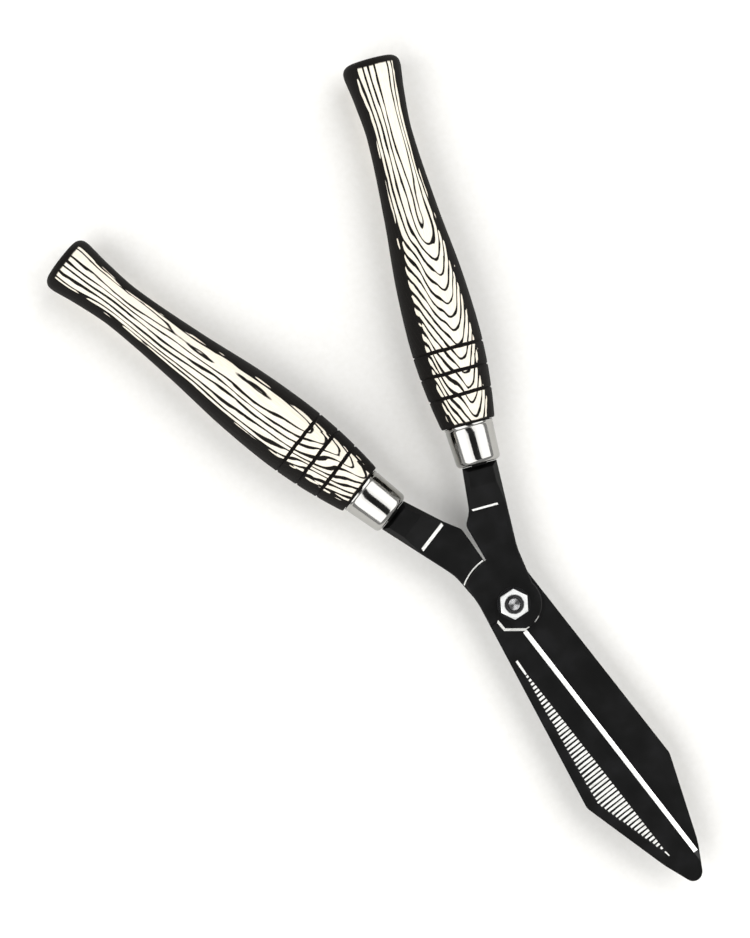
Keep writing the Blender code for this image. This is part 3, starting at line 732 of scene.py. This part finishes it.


# bleached ash: dark open year rings on pale wood, oiled to a soft sheen, scorched in its turned grooves, with
# painted shade on its sides
def makeAsh(side, settings, body):
    lean = settings[side]
    butt, axis = handleFrame(side)
    roll, turn = math.radians(lean["roll"]), math.atan2(axis.y, axis.x)
    material, tree, shader = newMaterial(side + "Ash", settings["pale"])
    coords = addNode(tree, "TexCoord")
    local = addNode(tree, "Mapping", {
        "Vector": coords.outputs["Object"], "Location": butt, "Rotation": (roll, 0, turn)},
        vector_type="TEXTURE")
    place = addNode(tree, "SeparateXYZ", {0: local})

    # the rings wander over some centimetres, and waver over some millimetres
    slow = addNode(tree, "Mapping", {"Vector": local, "Scale": stretched(*settings["wanderSize"])})
    wander = addNode(tree, "TexNoise", {"Vector": slow, "Scale": 1.0, "Detail": 1.0})
    quick = addNode(tree, "Mapping", {"Vector": local, "Scale": stretched(*settings["waverSize"])})
    waver = addNode(tree, "TexNoise", {"Vector": quick, "Scale": 1.0, "Detail": 2.0})

    # towards the butt they run almost straight; from the turn to the ferrule they climb, which makes arches
    steep, gentle = lean["climb"]
    blend = settings["turnBlend"]
    fromTurn = addNode(tree, "Math", {0: place.outputs["X"], 1: lean["turnAt"]}, operation="ADD")
    arches = addNode(tree, "Math", {0: fromTurn, 1: 0.0, 2: blend}, operation="SMOOTH_MIN")
    arching = addNode(tree, "Math", {0: arches, 1: steep - gentle}, operation="MULTIPLY")
    climbing = addNode(tree, "Math", {0: fromTurn, 1: gentle, 2: arching}, operation="MULTIPLY_ADD")

    # angle from the nearer crest, so that both faces of the handle show arches
    flat = addNode(tree, "VectorMath", {0: local, 1: (0, 1, 1)}, operation="MULTIPLY")
    spoke = addNode(tree, "VectorMath", {0: flat}, operation="NORMALIZE")
    spokeParts = addNode(tree, "SeparateXYZ", {0: spoke})
    height = addNode(tree, "Math", {0: spokeParts.outputs["Z"]}, operation="ABSOLUTE")
    around = addNode(tree, "Math", {0: height}, operation="ARCCOSINE")
    blunted = addNode(tree, "Math", {
        0: around, 1: around, 2: settings["archRound"] ** 2}, operation="MULTIPLY_ADD")
    reach = addNode(tree, "Math", {0: blunted}, operation="SQRT")
    legRise = settings["spacing"] / settings["legPitch"]
    depth = addNode(tree, "Math", {
        0: reach, 1: -legRise * settings["girth"], 2: climbing}, operation="MULTIPLY_ADD")
    bent = addNode(tree, "Math", {0: wander, 1: 8 * lean["wave"], 2: depth}, operation="MULTIPLY_ADD")
    wavy = addNode(tree, "Math", {0: waver, 1: lean["waver"], 2: bent}, operation="MULTIPLY_ADD")
    shifted = addNode(tree, "Math", {0: wavy, 1: lean["shift"]}, operation="ADD")
    rings = addNode(tree, "Math", {0: shifted, 1: settings["spacing"]}, operation="DIVIDE")
    toRing = addNode(tree, "Math", {0: rings, 1: 0.5}, operation="PINGPONG")

    # where rings climb slowly the line would widen, so its share of the ring shrinks with the climb
    leg = addNode(tree, "Math", {0: around, 1: reach}, operation="DIVIDE")
    legClimb = addNode(tree, "Math", {0: leg, 1: legRise}, operation="MULTIPLY")
    runClimb = addNode(tree, "MapRange", {
        "Value": fromTurn, "From Min": -blend * 2 / 3, "From Max": blend * 2 / 3,
        "To Min": steep, "To Max": gentle})
    runSquare = addNode(tree, "Math", {0: runClimb, 1: runClimb}, operation="MULTIPLY")
    bothSquare = addNode(tree, "Math", {0: legClimb, 1: legClimb, 2: runSquare}, operation="MULTIPLY_ADD")
    slant = addNode(tree, "Math", {0: bothSquare}, operation="SQRT")
    thin, thick = settings["lineUneven"]
    patchy = addNode(tree, "MapRange", {
        "Value": waver, "From Min": 0.25, "From Max": 0.7, "To Min": thin, "To Max": thick})
    width = addNode(tree, "Math", {0: slant, 1: patchy}, operation="MULTIPLY")
    half = addNode(tree, "MapRange", {
        "Value": width, "To Min": 0.02, "To Max": settings["lineHalf"] / settings["spacing"]}, clamp=False)

    # painted shade: towards both sides, where the surface turns away from upright, the dark lines widen until they
    # close up, in streaks
    ragged = addNode(tree, "Mapping", {"Vector": local, "Scale": stretched(*settings["streakSize"])})
    streaks = addNode(tree, "TexNoise", {"Vector": ragged, "Scale": 1.0, "Detail": 1.0})
    tilt = Matrix.Rotation(turn, 3, "Z") @ Matrix.Rotation(math.radians(lean["shade"]), 3, "X")
    facing = addNode(tree, "VectorMath", {
        0: coords.outputs["Normal"], 1: tilt @ up}, operation="DOT_PRODUCT")
    facingUp = addNode(tree, "Math", {0: facing.outputs["Value"]}, operation="ABSOLUTE")
    streaked = addNode(tree, "Math", {
        0: streaks, 1: -settings["sideShadeRagged"], 2: facingUp}, operation="MULTIPLY_ADD")
    sideStart, sideFull = settings["paintedSideShade"]
    sideShadeWidth = addNode(tree, "MapRange", {
        "Value": streaked, "From Min": sideStart, "From Max": sideFull, "To Max": 0.5},
        interpolation_type="SMOOTHSTEP")
    closed = addNode(tree, "Math", {0: half, 1: sideShadeWidth}, operation="ADD")
    kept = addNode(tree, "Clamp", {"Value": closed, "Min": settings["lineThinnest"], "Max": 0.52})
    # from here the line is the grain line widened by the painted shade on the sides
    beyond = addNode(tree, "Math", {0: toRing, 1: kept}, operation="SUBTRACT")
    line = addNode(tree, "MapRange", {
        "Value": beyond, "From Min": -settings["lineBlur"], "From Max": settings["lineBlur"],
        "To Min": 1.0, "To Max": 0.0}, interpolation_type="SMOOTHSTEP")

    # fine fibres along the wood
    drawn = addNode(tree, "Mapping", {"Vector": local, "Scale": stretched(*settings["fibreSize"])})
    fibres = addNode(tree, "TexNoise", {"Vector": drawn, "Scale": 1.0, "Detail": 3.0})
    straw = addNode(tree, "MapRange", {"Value": fibres, "From Min": 0.35, "From Max": 0.75, "To Max": 0.6})

    # scorched grooves, and painted shade with a stain at the butt's rounded end and at the shoulder rim
    unevenBy = settings["stainAndShadeUneven"]
    uneven = addNode(tree, "Math", {0: waver, 1: unevenBy, 2: place.outputs["X"]}, operation="MULTIPLY_ADD")
    # painted shade of the butt's rounded end, with an end-grain stain
    buttShadeEnd, buttShadeFull = settings["buttShadeAndStain"]
    dark = addNode(tree, "MapRange", {
        "Value": uneven, "From Min": -buttShadeEnd, "From Max": -buttShadeFull}, interpolation_type="SMOOTHSTEP")
    for groove in body["grooves"]:
        near = addNode(tree, "Math", {
            0: uneven, 1: unevenBy / 2 - groove, 2: settings["scorchHalf"]}, operation="COMPARE")
        dark = addNode(tree, "Math", {0: dark, 1: near}, operation="MAXIMUM")
    # painted shade, with a slight stain, where the wood meets the ferrule
    rimFull, rimEnd = settings["rimShadeAndStain"]
    rim = addNode(tree, "MapRange", {
        "Value": uneven, "From Min": rimFull - body["length"], "From Max": rimEnd - body["length"],
        "To Min": 1.0, "To Max": 0.0})
    dark = addNode(tree, "Math", {0: dark, 1: rim}, operation="MAXIMUM")
    inked = addNode(tree, "Math", {0: dark, 1: line}, operation="MAXIMUM")

    wood = addNode(tree, "Mix", {0: straw, 6: settings["pale"], 7: settings["straw"]}, data_type="RGBA")
    colour = addNode(tree, "Mix", {0: inked, 6: wood.outputs[2], 7: settings["dark"]}, data_type="RGBA")
    gloss = addNode(tree, "MapRange", {
        "Value": inked, "To Min": settings["roughness"], "To Max": settings["roughness"] + 0.2})
    pores = addNode(tree, "Math", {0: line, 1: -0.6, 2: fibres}, operation="MULTIPLY_ADD")
    bump = addNode(tree, "Bump", {"Height": pores, "Distance": settings["poreDepth"], "Strength": 0.5})
    tree.links.new(colour.outputs[2], shader.inputs["Base Color"])
    tree.links.new(gloss.outputs[0], shader.inputs["Roughness"])
    tree.links.new(bump.outputs[0], shader.inputs["Normal"])
    shader.inputs["Specular IOR Level"].default_value = settings["specular"]
    return material


def addHandle(side, settings):
    butt, axis = handleFrame(side)
    bm = spun(handleOutline(settings, ferrule), settings["steps"], butt, -axis, up)
    bm = carved(bm, [tangBore(side, settings, ferrule), rivetHole(side, rivet, ferrule)])
    ash = makeAsh(side, grain, settings)
    addPiece(side + "Handle", bm, [ash], side + "_half", [side + "_handle"], 40)


# nickel plate: a clear mirror, a little softened by fine rings from polishing
def makeNickel(side, settings):
    butt, axis = handleFrame(side)
    low, high = settings["roughness"]
    material, tree, shader = newMaterial(side + "NickelPlate", settings["plate"], metallic=1.0)
    coords = addNode(tree, "TexCoord")
    local = addNode(tree, "Mapping", {
        "Vector": coords.outputs["Object"], "Location": butt,
        "Rotation": (0, 0, math.atan2(axis.y, axis.x))}, vector_type="TEXTURE")
    rings = addNode(tree, "Mapping", {"Vector": local, "Scale": stretched(*settings["polishSize"])})
    polish = addNode(tree, "TexNoise", {"Vector": rings, "Scale": 1.0, "Detail": 2.0})
    smears = addNode(tree, "TexNoise", {
        "Vector": local, "Scale": 1 / settings["smearSize"], "Detail": 3.0})
    gloss = addNode(tree, "MapRange", {
        "Value": smears, "From Min": 0.3, "From Max": 0.7, "To Min": low, "To Max": high})
    bump = addNode(tree, "Bump", {"Height": polish, "Distance": 0.002 * mm, "Strength": 0.3})
    tree.links.new(gloss.outputs[0], shader.inputs["Roughness"])
    tree.links.new(bump.outputs[0], shader.inputs["Normal"])
    return material


def addFerrule(side, settings):
    butt, axis = handleFrame(side)
    start, end, wall, corner = (settings[name] for name in ("start", "end", "wall", "corner"))
    outside = []
    for angle in quarter(8):
        at = start - corner * (1 - math.cos(angle))
        outside.append((ferruleRadius(settings, at) - corner * (1 - math.sin(angle)), at))
    plainEnd = end + settings["beadFrom"] + 0.5 * mm
    for step in range(1, 7):
        at = start - corner + (plainEnd - start + corner) * step / 6
        outside.append((ferruleRadius(settings, at), at))
    full, bead = ferruleRadius(settings, end), settings["bead"]
    outside += [(full - bead, end + settings["beadFrom"]), (full, end + settings["beadFull"]),
                (full, end + bead), (full - bead, end)]
    inside = [(full - wall, end),
              (ferruleRadius(settings, start - corner) - wall, start - corner),
              (ferruleRadius(settings, start - wall) - corner, start - wall),
              (settings["tangHole"], start - wall), (settings["tangHole"], start)]
    bm = spun(outside + inside + outside[:1], 96, butt, -axis, up)
    bm = carved(bm, [rivetHole(side, rivet, settings)])
    addPiece(side + "Ferrule", bm, [makeNickel(side, settings)], side + "_half", [side + "_ferrule"], 35)


# bright drawn steel, dulled a little by handling
def makeRivetSteel(settings):
    low, high = settings["roughness"]
    material, tree, shader = newMaterial("drawnSteel", settings["steel"], metallic=1.0)
    coords = addNode(tree, "TexCoord")
    smears = addNode(tree, "TexNoise", {
        "Vector": coords.outputs["Object"], "Scale": 1 / settings["smearSize"], "Detail": 3.0})
    gloss = addNode(tree, "MapRange", {"Value": smears, "To Min": low, "To Max": high})
    tree.links.new(gloss.outputs[0], shader.inputs["Roughness"])
    return material


def addRivet(side, settings, material):
    centre, seat = rivetSeat(side, ferrule)
    radius, head, height = (settings[name] for name in ("radius", "headRadius", "headHeight"))
    foot = seat - settings["depth"]
    narrower, point = settings["point"]
    outline = [(0, foot), (radius - narrower, foot), (radius, foot + point), (radius, seat), (head, seat)]
    outline += [(head * math.cos(angle), seat + height * math.sin(angle)) for angle in quarter(6)[1:-1]]
    outline.append((0, seat + height))
    bm = spun(outline, 32, centre, -up)
    addPiece(side + "Rivet", bm, [material], side + "_half", [side + "_ferrule_pin"], 40)


print("handles")
rivetSteel = makeRivetSteel(rivet)
for side in flips:
    addHandle(side, turnedHandle)
    addFerrule(side, ferrule)
    addRivet(side, rivet, rivetSteel)


# Pivot bolt, washers and nut

bolt = {
    "headRadius": 10 * mm,
    "headTop": 3.7 * mm,
    "edge": 0.8 * mm,               # round of the head's lower rim
    "upperEdge": 0.3 * mm,
    "radius": 5 * mm,
    "neckTop": 6.5 * mm,
    "threadStart": 13.4 * mm,
    "threadPitch": 0.8 * mm,
    "threadDepth": 0.4 * mm,
    "end": 25 * mm,
    "chamfer": 0.9 * mm,
    "dish": 0.08 * mm,              # hollow left in the turned end
    "rings": 9,                     # turning marks on the end, coarser than real so they show
    "ringDepth": 0.006 * mm,
    "turned": "#E2E2E3",
    "turnedRoughness": (0.20, 0.30),
    "anisotropy": 0.95,
    "oxide": ("#131315", "#262628"),
    "oxideRoughness": (0.26, 0.42),
    "cloudSize": 2.2 * mm,
}
washer = {"hole": 5.3 * mm, "radius": 10 * mm, "low": 13.5 * mm, "high": 15.0 * mm, "edge": 0.2 * mm}
springWasher = {"soften": 0.15 * mm}
nut = {
    "acrossFlats": 16 * mm,
    "low": 17.6 * mm,
    "high": 23.6 * mm,
    "hole": 5.3 * mm,
    "countersink": 5.95 * mm,
    "chamferRadius": 7.9 * mm,
    "chamferAngle": 30,
    "soften": 0.12 * mm,
    "zinc": ("#F2F2F0", "#DADCDC"),
    "zincRoughness": (0.48, 0.62),
    "cloudSize": 1.8 * mm,
    "cloudDepth": 0.01 * mm,
}


# black oxide on steel: thin, dark, a satin sheen that shows the turning below
def makeBlackOxide(settings):
    dark, light = settings["oxide"]
    low, high = settings["oxideRoughness"]
    material, tree, shader = newMaterial("blackOxide", dark, metallic=0.6)
    coords = addNode(tree, "TexCoord")
    cloud = addNode(tree, "TexNoise", {
        "Vector": coords.outputs["Object"], "Scale": 1 / settings["cloudSize"], "Detail": 4.0})
    colour = addNode(tree, "Mix", {0: cloud, 6: dark, 7: light}, data_type="RGBA")
    gloss = addNode(tree, "MapRange", {"Value": cloud, "To Min": low, "To Max": high})
    tree.links.new(colour.outputs[2], shader.inputs["Base Color"])
    tree.links.new(gloss.outputs[0], shader.inputs["Roughness"])
    return material


# bright zinc plate: pale and slightly milky
def makeZinc(settings):
    light, shade = settings["zinc"]
    low, high = settings["zincRoughness"]
    material, tree, shader = newMaterial("zincPlate", light, metallic=1.0)
    coords = addNode(tree, "TexCoord")
    cloud = addNode(tree, "TexNoise", {
        "Vector": coords.outputs["Object"], "Scale": 1 / settings["cloudSize"], "Detail": 4.0})
    colour = addNode(tree, "Mix", {0: cloud, 6: light, 7: shade}, data_type="RGBA")
    gloss = addNode(tree, "MapRange", {"Value": cloud, "To Min": low, "To Max": high})
    bump = addNode(tree, "Bump", {"Height": cloud, "Distance": settings["cloudDepth"], "Strength": 0.3})
    tree.links.new(colour.outputs[2], shader.inputs["Base Color"])
    tree.links.new(gloss.outputs[0], shader.inputs["Roughness"])
    tree.links.new(bump.outputs[0], shader.inputs["Normal"])
    return material


# bare steel left by the lathe: the rings fan the light out from the middle
def makeTurnedSteel(settings):
    low, high = settings["turnedRoughness"]
    material, tree, shader = newMaterial("turnedSteel", settings["turned"], metallic=1.0)
    around = addNode(tree, "Tangent", direction_type="RADIAL", axis="Z")
    tree.links.new(around.outputs[0], shader.inputs["Tangent"])
    shader.inputs["Anisotropic"].default_value = settings["anisotropy"]
    coords = addNode(tree, "TexCoord")
    cloud = addNode(tree, "TexNoise", {
        "Vector": coords.outputs["Object"], "Scale": 1 / (1.0 * mm), "Detail": 2.0})
    gloss = addNode(tree, "MapRange", {"Value": cloud, "To Min": low, "To Max": high})
    tree.links.new(gloss.outputs[0], shader.inputs["Roughness"])
    return material


def addBolt(settings, materials):
    head, top, edge, upperEdge = (settings[name] for name in ("headRadius", "headTop", "edge", "upperEdge"))
    radius, pitch, depth = (settings[name] for name in ("radius", "threadPitch", "threadDepth"))
    end, dish, count = (settings[name] for name in ("end", "dish", "rings"))
    shankEnd, flat = end - settings["chamfer"], radius - settings["chamfer"]
    at = settings["threadStart"]
    outline = [(0, 0), (head - 2 * edge, 0), (head - edge * 0.9, edge * 0.25),
               (head - edge * 0.25, edge * 0.9), (head, 2 * edge), (head, top - upperEdge),
               (head - upperEdge, top), (radius, top), (radius, at)]
    while at < shankEnd - pitch:
        outline += [(radius - depth, at + pitch * 0.5), (radius, at + pitch)]
        at += pitch
    outline += [(radius - depth * 0.3, shankEnd), (flat, end)]
    for ring in range(count):
        share = 1 - (ring + 0.5) / count
        low = end - dish * (1 - share ** 2)
        outline += [(flat * share, low - settings["ringDepth"]),
                    (flat * (1 - (ring + 1) / count), low - dish * 0.02)]
    bm = spun(outline, 96)
    neck = bmesh.new()
    bmesh.ops.create_cube(neck, size=1.0)
    height = settings["neckTop"] - top + 1 * mm
    bmesh.ops.scale(neck, vec=(2 * radius, 2 * radius, height), verts=neck.verts)
    bmesh.ops.translate(neck, vec=(0, 0, settings["neckTop"] - height / 2), verts=neck.verts)
    bm = carved(bm, [neck], "UNION")
    for face in bm.faces:
        middle = face.calc_center_median()
        onEnd = middle.z > end - 3 * dish and math.hypot(middle.x, middle.y) < 0.85 * flat
        face.material_index = 1 if onEnd else 0
    addPiece("pivotBolt", bm, materials, "lower_half", ["pivot_bolt"], 30)


def addWasher(settings, material):
    hole, radius, low, high, edge = (settings[name] for name in ("hole", "radius", "low", "high", "edge"))
    outline = [(hole, low), (radius - edge, low), (radius, low + edge), (radius, high - edge),
               (radius - edge, high), (hole, high)]
    addPiece("pivotWasher", spun(outline + outline[:1], 96), [material], "lower_half", ["pivot_washer"], 30)


def addSpringWasher(settings, material):
    addPiece("springWasher", copied("spring_washer"), [material], "lower_half", ["spring_washer"], 30,
             settings["soften"])


def addNut(settings, material):
    low, high, flats = settings["low"], settings["high"], settings["acrossFlats"]
    block = bmesh.new()
    bmesh.ops.create_circle(block, cap_ends=True, segments=6, radius=flats / math.sqrt(3),
                            matrix=Matrix.Translation((0, 0, low)))
    raised = bmesh.ops.extrude_face_region(block, geom=block.faces[:])["geom"]
    bmesh.ops.translate(block, vec=(0, 0, high - low),
                        verts=[item for item in raised if isinstance(item, bmesh.types.BMVert)])
    bmesh.ops.recalc_face_normals(block, faces=block.faces)

    # the corners are turned off at both ends
    reach, over, rim = 12 * mm, 1 * mm, settings["chamferRadius"]
    drop = (reach - rim) * math.tan(math.radians(settings["chamferAngle"]))
    rounding = spun([(0, low), (rim, low), (reach, low + drop), (reach, high - drop), (rim, high),
                     (0, high)], 96)
    block = carved(block, [rounding], "INTERSECT")
    hole, sink = settings["hole"], settings["countersink"]
    bore = spun([(0, low - over), (sink + over, low - over), (hole, low + sink - hole),
                 (hole, high - sink + hole), (sink + over, high + over), (0, high + over)], 96)
    addPiece("pivotNut", carved(block, [bore]), [material], "lower_half", ["pivot_nut"], 20,
             settings["soften"])


print("pivot")
blackOxide = makeBlackOxide(bolt)
addBolt(bolt, [blackOxide, makeTurnedSteel(bolt)])
addWasher(washer, blackOxide)
addSpringWasher(springWasher, blackOxide)
addNut(nut, makeZinc(nut))
